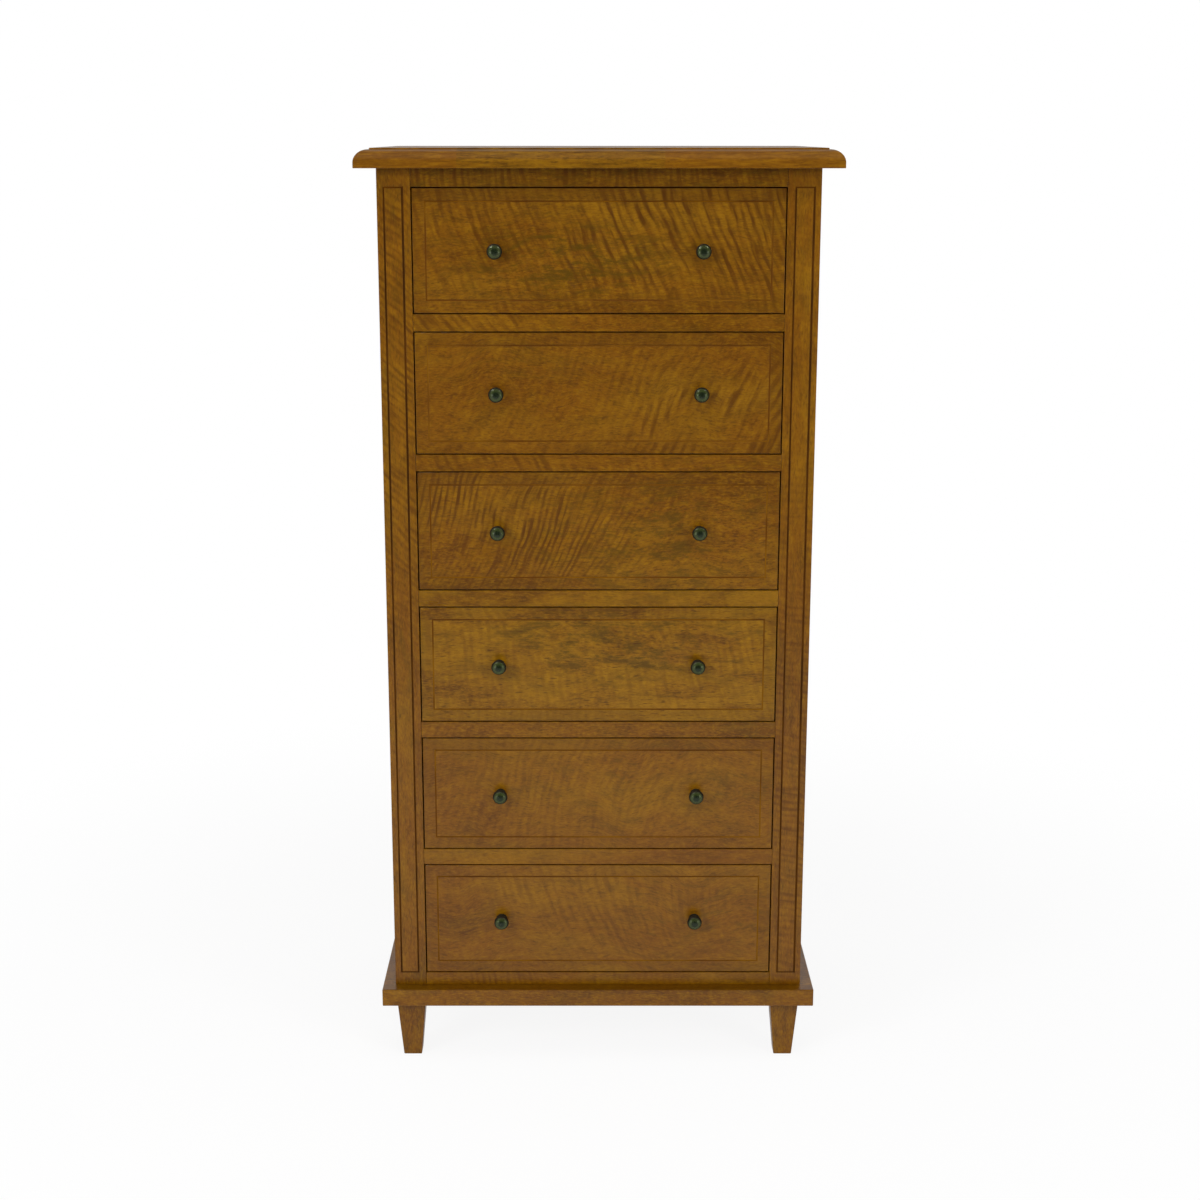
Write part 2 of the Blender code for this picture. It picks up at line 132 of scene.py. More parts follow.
class Figure(NamedTuple):
    """How the veneer of a piece is cut."""

    slant: float  # Lean of the curl bars, in degrees.
    curl: float  # Strength of the curl bars.
    olive: float  # Strength of the olive mottle.
    warmth: float  # Share of the redder tone.
    pale: float = 0.0  # Share of light tone, or of dark tone below zero.
    pitch: float = 1.0  # Share of the usual spacing of the bars.
    streaks: float = 0.4  # Strength of the streaks along the grain.
    dashes: float = 0.5  # Strength of the short dark dashes.
    clouds: float = 0.85  # Strength of the small clouds and of the fuzz.
    sway: float = 0.02  # How far the grain wanders, in metres.
    banded: int = 0  # 1 where the border is cut from other sheets than the field.
    upper: float = 0.12  # Share of dark tone on the upper strip of the border.
    curl_focus: tuple = EVERYWHERE
    olive_focus: tuple = EVERYWHERE


class Layer(NamedTuple):
    """A noise in the wood that lays one tone where it is high and another where it is low."""

    scale: tuple  # Along, across and through the grain, in marks per metre.
    detail: float
    roughness: float
    high: tuple  # Where the high tone starts, where it is full, and its strength.
    low: tuple  # The same for the low tone.


TONE = Layer((3.2, 9.0, 9.0), 3.0, 0.55, (0.50, 0.70, 0.44), (0.52, 0.30, 0.42))
BROAD_CLOUDS = Layer((11.0, 26.0, 26.0), 3.0, 0.60, (0.50, 0.68, 0.60), (0.49, 0.30, 0.36))
SMALL_CLOUDS = Layer((46.0, 90.0, 90.0), 5.0, 0.68, (0.49, 0.70, 0.62), (0.50, 0.30, 0.66))
FUZZ = Layer((150.0, 480.0, 480.0), 3.0, 0.65, (0.49, 0.70, 0.68), (0.50, 0.30, 0.70))
STREAKS = Layer((8.0, 120.0, 120.0), 4.0, 0.60, (0.50, 0.78, 0.70), (0.46, 0.24, 0.50))
STAVE_GRAIN = Layer((26.0, 280.0, 280.0), 4.0, 0.66, (0.50, 0.68, 0.78), (0.49, 0.32, 0.76))

# The four numbers that a figure begins with are its slant, curl, olive and warmth.
DRAWER_FIGURES = {
    # Drawer 1's upper strip is darker than the others': its veneer, and painted shadow of the top.
    1: Figure(
        18, 1.20, 1.00, 0.75, pale=-0.05, pitch=0.95, clouds=0.95, sway=0.04, upper=0.27,
        curl_focus=(0.19, 0.06, 0.42, 0.13), olive_focus=(-0.04, -0.01, 0.15, 0.05),
    ),
    2: Figure(
        -26, 1.40, 0.30, 0.68, pale=-0.08, clouds=0.88, sway=0.08,
        curl_focus=(0.18, -0.03, 0.14, 0.08), olive_focus=(-0.12, 0.05, 0.14, 0.05),
    ),
    3: Figure(
        -27, 1.08, 0.75, 0.72, pale=-0.04, pitch=0.70, clouds=1.00, sway=0.03,
        curl_focus=(-0.16, 0.03, 0.22, 0.12), olive_focus=(0.10, -0.01, 0.17, 0.09),
    ),
    4: Figure(
        12, 0.30, 0.85, 0.30, pale=0.30, streaks=1.0, dashes=1.0, clouds=1.08, banded=1, upper=0.0,
        olive_focus=(0.03, 0.03, 0.24, 0.06),
    ),
    5: Figure(
        -16, 0.34, 0.45, 0.44, pale=-0.02, clouds=0.65, sway=0.10,
        curl_focus=(-0.10, 0.00, 0.30, 0.12), olive_focus=(0.10, 0.02, 0.20, 0.08),
    ),
    6: Figure(
        18, 0.48, 0.45, 0.42, clouds=0.60, sway=0.10, upper=0.0,
        curl_focus=(0.00, 0.02, 0.18, 0.09), olive_focus=(0.16, 0.00, 0.16, 0.08),
    ),
}
STILE_FIGURES = {
    "left": Figure(
        44, 0.66, 0.40, 0.60, pitch=0.72, dashes=0.6, clouds=0.60, curl_focus=(1.10, 0.0, 0.42, FAR)
    ),
    "right": Figure(
        14, 0.65, 0.30, 0.65, pitch=0.85, dashes=0.6, clouds=0.60, curl_focus=(0.40, 0.0, 0.50, FAR)
    ),
}
RAIL_FIGURES = {
    "top_rail_board": Figure(8, 0.85, 0.75, 0.40, pale=-0.24, pitch=0.75, clouds=1.3),
    "divider_board_1": Figure(
        30, 0.95, 0.35, 0.60, curl_focus=(-0.20, 0.0, 0.14, FAR), olive_focus=(0.14, 0.0, 0.25, FAR)
    ),
    "divider_board_2": Figure(
        22, 1.00, 0.40, 0.60, curl_focus=(-0.17, 0.0, 0.10, FAR), olive_focus=(0.20, 0.0, 0.15, FAR)
    ),
    "divider_board_3": Figure(12, 0.15, 0.40, 0.40, pale=0.26, olive_focus=(0.05, 0.0, 0.20, FAR)),
    "divider_board_4": Figure(
        -28, 0.90, 0.45, 0.55, curl_focus=(-0.21, 0.0, 0.09, FAR), olive_focus=(0.19, 0.0, 0.12, FAR)
    ),
    "divider_board_5": Figure(9, 0.12, 0.20, 0.52, clouds=0.50),
    "bottom_rail_board": Figure(
        6, 0.80, 0.20, 0.60, pitch=0.8, clouds=0.65, curl_focus=(-0.09, 0.0, 0.12, FAR)
    ),
}
SIDE_FIGURE = Figure(14, 0.50, 0.35, 0.55)
TOP_FIGURE = Figure(10, 0.20, 0.20, 0.42, pale=0.06, streaks=1.3, dashes=1.2)
PLINTH_FIGURE = Figure(12, 0.20, 0.15, 0.55)
FOOT_FIGURE = Figure(20, 0.20, 0.20, 0.50)

# The lamps, and the cards in front, face the middle of the chest.
MIDDLE = (0.0, 0.0, 0.75)

# Place and width of each soft box. Its power is a setting of the stage.
SOFT_BOXES = {
    "key": ((-2.7, -2.9, 2.1), 1.2),
    "fill": ((2.8, -2.8, 1.9), 1.2),
    "overhead": ((0.0, -1.2, 3.6), 2.2),
}

# Place, target, width, height and strength of each card.
CARDS = {
    "rear_card": ((0.0, 1.6, 0.8), (0.0, 0.0, 0.8), 5.2, 1.6, 1.0),
    "key_card": ((-2.7, -2.9, 0.75), MIDDLE, 1.2, 1.1, 5.0),
    "fill_card": ((2.8, -2.8, 0.75), MIDDLE, 1.2, 1.1, 4.0),
    "high_key_card": ((-1.8, -0.9, 3.4), MIDDLE, 0.8, 0.8, 24.0),
    "high_fill_card": ((1.8, -0.9, 3.4), MIDDLE, 0.8, 0.8, 10.0),
}
CARD_HIDDEN_FROM = ("camera", "diffuse", "transmission", "volume_scatter", "shadow")

# The floor is a square about a point behind the chest. Its clear white sets in between two radii.
FLOOR_HALF = 4.0
FLOOR_CENTRE = (0.0, 1.2, 0.0)
FLOOR_WHITE = (0.6, 1.8)
FLOOR_MIRRORED = 0.5

# What reflections show of the room: its level ahead of the eye, at the sides, and behind the eye.
ROOM_AHEAD = 0.42
ROOM_SIDES = 0.25
ROOM_BEHIND = 0.02


def colour_property(name, description, default):
    return bpy.props.FloatVectorProperty(
        name=name, description=description, subtype="COLOR", size=3, min=0.0, max=1.0, default=default
    )


def length_property(name, description, default):
    return bpy.props.FloatProperty(
        name=name, description=description, unit="LENGTH", default=default, precision=4
    )


def factor_property(name, description, default):
    return bpy.props.FloatProperty(
        name=name, description=description, subtype="FACTOR", min=0.0, max=1.0, default=default
    )


def number_property(name, description, default, unit="NONE"):
    return bpy.props.FloatProperty(name=name, description=description, default=default, unit=unit)


class ChestVeneer(bpy.types.PropertyGroup):
    """Colours, polish and cuts of the figured veneer."""

    honey: colour_property("Honey", "Main tone of the veneer", (0.185, 0.0743, 0.0008))
    chestnut: colour_property("Chestnut", "Redder tone between the honey parts", (0.172, 0.0590, 0.0006))
    straw: colour_property("Straw", "Light streaks and the crests of the curl", (0.272, 0.1240, 0.0010))
    corn: colour_property("Corn", "Yellow tone of the palest sheets", (0.285, 0.1430, 0.0020))
    russet: colour_property("Russet", "Red-brown of the curl bars", (0.110, 0.0360, 0.0005))
    umber: colour_property("Umber", "Heart of the curl bars and the pores", (0.060, 0.0205, 0.0004))
    olive: colour_property("Olive", "Mineral mottling", (0.086, 0.0420, 0.0005))
    # Painted shade on a drawer front's face beside the gap round it.
    seam: colour_property("Seam", "Dark tint at the edges of a drawer front", (0.046, 0.0172, 0.0006))
    roughness: factor_property("Roughness", "Roughness of the satin lacquer", 0.25)
    refraction: number_property("Refraction", "Index of refraction of the lacquer", 1.34)
    stain_refraction: number_property("Stain refraction", "Index of refraction of the matt stain", 1.24)
    curl_pitch: length_property("Curl pitch", "Distance between bars of the curl", 0.0125)
    border: length_property("Border", "From a drawer front's edge to its border line", 0.0181)
    line_outer: length_property("Outer line", "From a stile's outer edge to its line", 0.0097)
    line_inner: length_property("Inner line", "From a stile's outer edge to its far line", 0.0359)
    line_end: length_property("Line end", "From the foot of the case to a stile's line", 0.0210)
    line_top: length_property("Line top", "From the top of the case to a stile's line", 0.0265)
    stave_length: length_property("Stave length", "Length of a stave of the top", 0.288)
    stave_width: length_property("Stave width", "Width of a stave of the top", 0.0914)
    stave_start: length_property("Stave start", "Where a joint of the front staves lies", -0.197)


class ChestInnerWood(bpy.types.PropertyGroup):
    """Colours and growth of the bare wood inside the chest."""

    pale: colour_property("Pale", "Main tone of the bare wood", (0.500, 0.320, 0.155))
    late: colour_property("Late wood", "Darker lines of the grain", (0.330, 0.175, 0.068))
    dust: colour_property("Dust", "Grime where hands and runners rub", (0.260, 0.160, 0.078))
    roughness: factor_property("Roughness", "Roughness of the planed wood", 0.62)
    refraction: number_property("Refraction", "Index of refraction of the planed wood", 1.40)
    leaf_width: length_property("Leaf width", "Width of a leaf of the wood", 0.180)
    ring_pitch: length_property("Ring pitch", "Distance between growth rings", 0.0085)


class ChestBronze(bpy.types.PropertyGroup):
    """Shape and colours of the turned knobs."""

    patina: colour_property("Patina", "Green-grey bronze of the head", (0.046, 0.062, 0.017))
    # The tip's darker tone is a painted reflection of the dim room behind the eye.
    tip: colour_property("Tip", "Darker bronze at the tip of the head", (0.012, 0.019, 0.008))
    # Tarnish, and also painted reflection of the dark wood and painted shade from the rim of the head
    # back.
    tarnish_and_shade: colour_property("Tarnish", "Brown-black bronze in the hollows", (0.012, 0.008, 0.002))
    roughness: factor_property("Roughness", "Roughness of the polished head", 0.19)
    metal: factor_property("Metal", "How far the patina lets the metal through", 0.30)
    refraction: number_property("Refraction", "Index of refraction of the patina", 1.38)
    head_radius: length_property("Head radius", "Radius of the domed head", 0.0110)
    head_start: length_property("Head start", "Height of the head above the drawer front", 0.0080)
    head_height: length_property("Head height", "Length of the head along its axis", 0.0150)
    neck_radius: length_property("Neck radius", "Radius of the neck", 0.0045)
    cove: factor_property("Cove", "Share of the flange under the neck's cove", 0.75)
    base_radius: length_property("Flange radius", "Radius of the flange", 0.0082)
    base_height: length_property("Flange height", "Height of the flange", 0.0025)
    base_rim: factor_property("Flange rim", "Share of the flange's height that is rounded", 0.30)
    base_gap: length_property("Flange gap", "Gap between flange and drawer front", 0.0003)
    shank_radius: length_property("Shank radius", "Radius of the shank", 0.0025)
    shank_length: length_property("Shank length", "Length of the shank", 0.0140)


class ChestTop(bpy.types.PropertyGroup):
    """Moulding round the front and the sides of the top."""

    lip: length_property("Lip", "Height of the plain lip", 0.0075)
    round_rise: length_property("Round rise", "Height of the quarter round", 0.018)
    round_run: length_property("Round run", "Depth of the quarter round", 0.0195)
    step_run: length_property("Step run", "Width of the small flat step", 0.0015)
    ease: length_property("Ease", "Rounding of the sharp edges", 0.0006)


class ChestStage(bpy.types.PropertyGroup):
    """Camera, lights and floor of the studio."""

    lens: number_property("Lens", "Focal length", 58.245, "CAMERA")
    eye: bpy.props.FloatVectorProperty(
        name="Eye", description="Place of the camera", subtype="XYZ", unit="LENGTH",
        default=(-0.019, -2.9675, 1.3941),
    )
    pitch: bpy.props.FloatProperty(
        name="Pitch", description="How far the camera looks down", subtype="ANGLE",
        default=math.radians(13.497),
    )
    shift: number_property("Shift", "Sideways shift of the frame", 0.0121)
    key: number_property("Key light", "Power of the soft box at the left", 68.0, "POWER")
    fill: number_property("Fill light", "Power of the soft box at the right", 45.0, "POWER")
    overhead: number_property("Overhead light", "Power of the soft box above", 40.0, "POWER")
    ambient: factor_property("Ambient", "Level of the light from all round", 0.40)
    floor_shade: colour_property("Floor shade", "Darker tone of the floor", (0.93, 0.93, 0.93))
    floor_light: colour_property("Floor light", "Lighter tone of the floor", (0.95, 0.95, 0.95))
    floor_glow: factor_property("Floor glow", "How far the floor is lifted to white", 0.90)


class Value:
    """A socket of a shader. Arithmetic on it adds Math nodes."""

    def __init__(self, graph, socket):
        self.graph = graph
        self.socket = socket

    def __add__(self, other):
        return self.graph.math("ADD", self, other)

    def __sub__(self, other):
        return self.graph.math("SUBTRACT", self, other)

    def __rsub__(self, other):
        return self.graph.math("SUBTRACT", other, self)

    def __mul__(self, other):
        return self.graph.math("MULTIPLY", self, other)

    def __truediv__(self, other):
        return self.graph.math("DIVIDE", self, other)

    def __rtruediv__(self, other):
        return self.graph.math("DIVIDE", other, self)

    def __gt__(self, other):
        return self.graph.math("GREATER_THAN", self, other)

    def __lt__(self, other):
        return self.graph.math("LESS_THAN", self, other)

    def __abs__(self):
        return self.graph.math("ABSOLUTE", self)

    __radd__ = __add__
    __rmul__ = __mul__


class Graph:
    """The nodes of one material or of the world."""

    def __init__(self, owner):
        owner.use_nodes = True
        self.owner = owner
        self.tree = owner.node_tree
        self.tree.nodes.clear()

    def node(self, kind, settings=None, sockets=None, output=0):
        """One node: its settings are set first, then its sockets are given values or links."""
        made = self.tree.nodes.new(kind)
        for name, setting in (settings or {}).items():
            setattr(made, name, setting)
        for key, entry in (sockets or {}).items():
            if isinstance(entry, Value):
                self.tree.links.new(entry.socket, made.inputs[key])
            else:
                made.inputs[key].default_value = entry
        return Value(self, made.outputs[output]) if made.outputs else None

    def math(self, operation, *terms):
        return self.node("ShaderNodeMath", {"operation": operation}, dict(enumerate(terms)))

    def smallest(self, first, second):
        return self.math("MINIMUM", first, second)

    def floor(self, value):
        return self.math("FLOOR", value)

    def ramp(self, value, low, high):
        """0 below low, 1 above high and smooth between; low may be the greater one."""
        sockets = {"Value": value, "From Min": low, "From Max": high}
        return self.node("ShaderNodeMapRange", {"interpolation_type": "SMOOTHSTEP"}, sockets)

    def vector(self, x, y, z):
        return self.node("ShaderNodeCombineXYZ", None, {0: x, 1: y, 2: z})

    def parts(self, vector):
        """x, y and z of a vector."""
        return [self.node("ShaderNodeSeparateXYZ", None, {0: vector}, axis) for axis in range(3)]

    def axes(self):
        """x, y and z of the surface point, in the chest's own frame."""
        return self.parts(self.node("ShaderNodeTexCoord", None, None, "Object"))

    def ray(self, kind):
        """1 for a ray of a kind, such as Is Camera Ray, and 0 for others."""
        return self.node("ShaderNodeLightPath", None, None, kind)

    def noise(self, place, scale, shift=(0, 0, 0), detail=2.0, roughness=0.5):
        """Soft noise at a place that is stretched and shifted along each axis."""
        settings = {"operation": "MULTIPLY_ADD"}
        moved = self.node("ShaderNodeVectorMath", settings, {0: place, 1: scale, 2: shift})
        sockets = {"Vector": moved, "Scale": 1.0, "Detail": detail, "Roughness": roughness}
        return self.node("ShaderNodeTexNoise", None, sockets)

    def scatter(self, place):
        """A steady random number for each place."""
        return self.node("ShaderNodeTexWhiteNoise", None, {"Vector": place})

    def mix(self, factor, first, second):
        sockets = {0: factor, 6: tinted(first), 7: tinted(second)}
        return self.node("ShaderNodeMix", {"data_type": "RGBA"}, sockets, 2)

    def bump(self, height, strength, distance):
        sockets = {"Strength": strength, "Distance": distance, "Height": height}
        return self.node("ShaderNodeBump", None, sockets)

    def surface(self, kind, sockets):
        """Ends a material with its shader, and returns the material."""
        shader = self.node(kind, None, sockets)
        self.node("ShaderNodeOutputMaterial", None, {"Surface": shader})
        return self.owner

    def principled(self, sockets):
        return self.surface("ShaderNodeBsdfPrincipled", sockets)


def tinted(colour):
    """A colour with its alpha; a linked colour stays as it is."""
    return colour if isinstance(colour, Value) else (*colour, 1.0)


def focus_mask(graph, along, across, focus):
    """1 near the middle of a focus, falling to 0 beyond its reach."""
    middle_along, middle_across, reach_along, reach_across = focus
    off_along = (along - middle_along) / reach_along
    off_across = (across - middle_across) / reach_across
    distance = graph.math("SQRT", off_along * off_along + off_across * off_across)
    return graph.ramp(distance, 1.5, 0.3)


class Veneer:
    """Figured veneer on one piece. Its places are along, across and through the grain, in metres."""

    def __init__(self, name, figure, seed):
        self.graph = Graph(bpy.data.materials.new(name))
        self.look = bpy.context.scene.chest_veneer
        self.figure = figure
        self.shift = tuple(seed * stride for stride in SHEET_STRIDE)
        self.other_shift = self.shift[::-1]

    def lay(self, along, across, depth, near=None):
        """Works out the wood at every point; near is the place that the figure's focuses go by."""
        graph = self.graph
        look = self.look
        wander = graph.noise(graph.vector(along, across, depth), (6.0, 5.0, 5.0), self.shift)
        self.place = graph.vector(along, across + (wander - 0.5) * self.figure.sway, depth)
        tone = self.noise(TONE, self.shift)
        warm = 0.38 + 0.24 * self.figure.warmth
        red = graph.ramp(tone, warm + 0.17, warm - 0.13)
        self.colour = graph.mix(red, look.honey, look.chestnut)
        self.add_tones(tone, TONE, look.straw, look.umber)
        self.add_clouds()
        streaks = self.noise(STREAKS, self.shift)
        self.add_tones(streaks, STREAKS, look.straw, look.umber, self.figure.streaks)
        near = near or (along, across)
        bars = self.add_curl(along, across, depth, near)
        self.add_mottle(near)
        pores = self.add_pores()
        self.relief = bars * 0.25 - pores
        self.dullness = pores * 0.14 + tone * 0.10

    def noise(self, layer, shift):
        return self.graph.noise(self.place, layer.scale, shift, layer.detail, layer.roughness)

    def tint(self, factor, colour):
        self.colour = self.graph.mix(factor, self.colour, colour)

    def add_tones(self, noise, layer, high, low, strength=1.0):
        """Lays a layer's two tones by its noise."""
        for colour, (start, full, share) in ((high, layer.high), (low, layer.low)):
            self.tint(self.graph.ramp(noise, start, full) * (share * strength), colour)

    def add_clouds(self):
        """Red and olive clouds, smaller light and dark ones, and a fine fuzz of fibres."""
        look = self.look
        broad = self.noise(BROAD_CLOUDS, self.other_shift)
        self.add_tones(broad, BROAD_CLOUDS, look.chestnut, look.olive)
        for layer in (SMALL_CLOUDS, FUZZ):
            noise = self.noise(layer, self.shift)
            self.add_tones(noise, layer, look.straw, look.umber, self.figure.clouds)
        if self.figure.pale > 0:
            self.tint(self.graph.ramp(broad, 0.36, 0.58) * (self.figure.pale * 1.6), look.corn)
        elif self.figure.pale < 0:
            self.tint(-self.figure.pale, look.umber)

    def add_curl(self, along, across, depth, near):
        """Broken bars that lean across the grain, strongest at the figure's focus."""
        graph = self.graph
        lean = math.radians(self.figure.slant)
        pitch = self.look.curl_pitch * self.figure.pitch
        ripple = graph.noise(self.place, (9.0, 15.0, 15.0), self.shift, 1.0)
        bend = graph.noise(self.place, (3.5, 5.0, 5.0), self.shift, 0.0)
        sway = ripple * 0.016 + bend * 0.060
        across_bars = along * math.cos(lean) + across * math.sin(lean) + sway
        along_bars = across * math.cos(lean) - along * math.sin(lean)
        place = graph.vector(across_bars, along_bars, depth)
        loose = graph.noise(place, (1.8 / pitch, 20.0, 34.0), self.shift)
        even = graph.math("SINE", across_bars * (2 * math.pi / pitch))
        bars = graph.ramp(loose * 0.80 + even * 0.09 + 0.10, 0.36, 0.68)
        flicker = graph.noise(place, (52.0, 26.0, 40.0), self.other_shift, 3.0, 0.6)
        flame = graph.ramp(flicker, 0.36, 0.62)
        patches = graph.noise(self.place, (6.0, 9.0, 9.0), self.other_shift, 1.0)
        strength = graph.ramp(patches, 0.18, 0.54) * self.figure.curl
        if self.figure.curl_focus != EVERYWHERE:
            focus = focus_mask(graph, *near, self.figure.curl_focus)
            strength = strength * (0.22 + focus * 0.80)
        self.tint(bars * strength * (0.40 + flame * 0.55), self.look.russet)
        self.tint(bars * flame * strength * 0.44, self.look.umber)
        self.tint((1 - bars) * strength * 0.22, self.look.straw)
        return bars * strength

    def add_mottle(self, near):
        """Olive mineral marks, drawn out along the grain."""
        graph = self.graph
        mottle = graph.noise(self.place, (18.0, 55.0, 55.0), self.other_shift, 7.0, 0.76)
        strength = graph.ramp(mottle, 0.51 - 0.07 * self.figure.olive, 0.66) * self.figure.olive
        if self.figure.olive_focus != EVERYWHERE:
            focus = focus_mask(graph, *near, self.figure.olive_focus)
            strength = strength * (0.25 + focus)
        self.tint(strength, self.look.olive)

    def add_pores(self):
        """Short dark dashes and, finer, the open pores."""
        graph = self.graph
        coarse = graph.noise(self.place, (70.0, 560.0, 560.0), self.shift, 1.0)
        fine = graph.noise(self.place, (260.0, 2300.0, 2300.0), self.shift, 1.0)
        dashes = graph.ramp(coarse, 0.60, 0.74)
        pores = graph.ramp(fine, 0.58, 0.72)
        self.tint(dashes * (0.75 * self.figure.dashes), self.look.umber)
        self.tint(pores * 0.30, self.look.umber)
        return dashes * 0.5 + pores * 0.5

    def shade(self, distance, shade, colour):
        """Darkens the wood beside a line or an edge."""
        start, full, strength = shade
        self.tint(self.graph.ramp(distance, start, full) * strength, colour)

    def finish(self):
        """The lacquered surface, as a material."""
        return self.graph.principled({
            "Base Color": self.colour,
            "Roughness": self.look.roughness + self.dullness,
            "IOR": self.look.refraction,
            "Normal": self.graph.bump(self.relief, 0.22, 0.0004),
        })


def rectangle_depth(graph, x, z, low, high):
    """How far a point lies inside a rectangle, from its nearer side and its nearer end."""
    side = graph.smallest(x - low[0], high[0] - x)
    end = graph.smallest(z - low[1], high[1] - z)
    return side, end


def drawer_front_veneer(number):
    """A field of figured veneer in a border of strips, along the incised line."""
    veneer = Veneer(f"drawer_{number}_veneer", DRAWER_FIGURES[number], number)
    graph = veneer.graph
    look = veneer.look
    x, y, z = graph.axes()
    low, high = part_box(f"drawer_{number}_front")
    side, end = rectangle_depth(graph, x, z, (low.x, low.z), (high.x, high.z))
    end_strip = end < look.border
    side_strip = (side < look.border) * (1 - end_strip)
    cut = veneer.figure.banded
    along, across = [
        place + end_strip * (end_cut * cut) + side_strip * (side_cut * cut)
        for place, end_cut, side_cut in zip((x, z), END_STRIP_CUT, SIDE_STRIP_CUT)
    ]
    veneer.lay(along, across, y, (x, z - (low.z + high.z) / 2))
    patches = graph.noise(graph.vector(x, y, z), (4.0, 4.0, 4.0), veneer.shift, 1.0)
    strip_tone = 0.08 * cut + graph.ramp(patches, 0.25, 0.75) * 0.18
    veneer.tint((end_strip + side_strip) * strip_tone, look.umber)
    veneer.tint((high.z - z < look.border) * veneer.figure.upper, look.umber)
    inset = graph.smallest(side, end)
    veneer.shade(abs(inset - look.border), FRONT_LINE_SHADE, look.umber)
    # Painted shade on the face beside the gap round the front.
    veneer.shade(inset, FRONT_EDGE_SHADE, look.seam)
    return veneer.finish()


def stile_veneer(hand, seed):
    """A field inside the incised line and narrow strips outside it, with the grain upright."""
    veneer = Veneer(f"{hand}_stile_veneer", STILE_FIGURES[hand], seed)
    graph = veneer.graph
    look = veneer.look
    x, y, z = graph.axes()
    low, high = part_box(f"{hand}_front_stile")
    if hand == "left":
        near, far = low.x + look.line_outer, low.x + look.line_inner
    else:
        near, far = high.x - look.line_inner, high.x - look.line_outer
    foot, head = low.z + look.line_end, high.z - look.line_top
    inset = graph.smallest(*rectangle_depth(graph, x, z, (near, foot), (far, head)))
    field = inset > 0.0
    along_cut, across_cut = STILE_FIELD_CUT
    veneer.lay(z + field * along_cut, x + field * across_cut, y, (z, x))
    veneer.shade(abs(inset), STILE_LINE_SHADE, look.umber)
    return veneer.finish()


def rail_veneer(name, figure, seed):
    """Figured rail in front, bare board and guides behind it."""
    veneer = Veneer(name, figure, seed)
    graph = veneer.graph
    x, y, z = graph.axes()
    veneer.lay(x, z, y)
    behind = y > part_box("left_front_stile")[1].y
    bare = bpy.context.scene.chest_inner_wood
    grain = graph.noise(graph.vector(x, y, z), (6.0, 90.0, 90.0), (1.0, 2.0, 3.0), 3.0)
    plain = graph.mix(graph.ramp(grain, 0.40, 0.70), bare.pale, bare.late)
    veneer.tint(behind, plain)
    veneer.dullness = veneer.dullness + behind * (bare.roughness - veneer.look.roughness)
    return veneer.finish()


def upright_veneer(name, figure, seed):
    """Plain sheet of veneer with its grain upright."""
    veneer = Veneer(name, figure, seed)
    x, y, z = veneer.graph.axes()
    veneer.lay(z, y + x, x)
    return veneer.finish()


def plinth_veneer():
    """Sheet along the plinth, darker on the ledge in front of the case by painted shade and dark
    reflection.
    """
    veneer = Veneer("plinth_veneer", PLINTH_FIGURE, PLINTH_SEED)
    x, y, z = veneer.graph.axes()
    veneer.lay(x, z, y)
    upper_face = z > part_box("plinth_board")[1].z - LEDGE_SKIN
    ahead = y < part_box("left_front_stile")[0].y
    # Painted shade and dark reflection of the case front on the ledge ahead of it.
    veneer.tint(upper_face * ahead * 0.45, veneer.look.umber)
    return veneer.finish()


def top_veneer():
    """Staves laid along the top, each with its own tone."""
    veneer = Veneer("top_veneer", TOP_FIGURE, TOP_SEED)
    graph = veneer.graph
    look = veneer.look
    x, y, z = graph.axes()
    row = graph.floor((y - CAD_BOX[0].y) / look.stave_width)
    stagger = graph.scatter(graph.vector(row, 0.0, 7.0)) * (row > 0.5)
    stave = graph.floor((x - look.stave_start) / look.stave_length + stagger)
    tone = graph.math("PINGPONG", stave + row * 0.37, 1.0)
    veneer.lay(x + tone * 3.0, y + tone * 2.0, z)
    grain = veneer.noise(STAVE_GRAIN, veneer.shift)
    veneer.add_tones(grain, STAVE_GRAIN, look.straw, look.umber)
    veneer.tint(graph.ramp(tone, 0.45, 1.0) * 0.40, look.chestnut)
    veneer.tint(graph.ramp(tone, 0.45, 0.0) * 0.22, look.olive)
    return veneer.finish()


def line_stain(name, fresh, worn):
    """Matt stain in an incised line, worn thin here and there."""
    look = bpy.context.scene.chest_veneer
    graph = Graph(bpy.data.materials.new(name))
    place = graph.vector(*graph.axes())
    wear = graph.noise(place, (13.0, 13.0, 13.0), (5.0, 1.0, 2.0), 3.0)
    grime = graph.noise(place, (700.0, 700.0, 700.0), (2.0, 4.0, 1.0), 3.0, 0.6)
    colour = graph.mix(graph.ramp(wear, 0.36, 0.64), fresh, worn)
    colour = graph.mix(graph.ramp(grime, 0.50, 0.72) * 0.25, colour, look.umber)
    return graph.principled({
        "Base Color": colour,
        "Roughness": 0.60 + grime * 0.20,
        "IOR": look.stain_refraction,
        "Normal": graph.bump(grime, 0.15, 0.0002),
    })


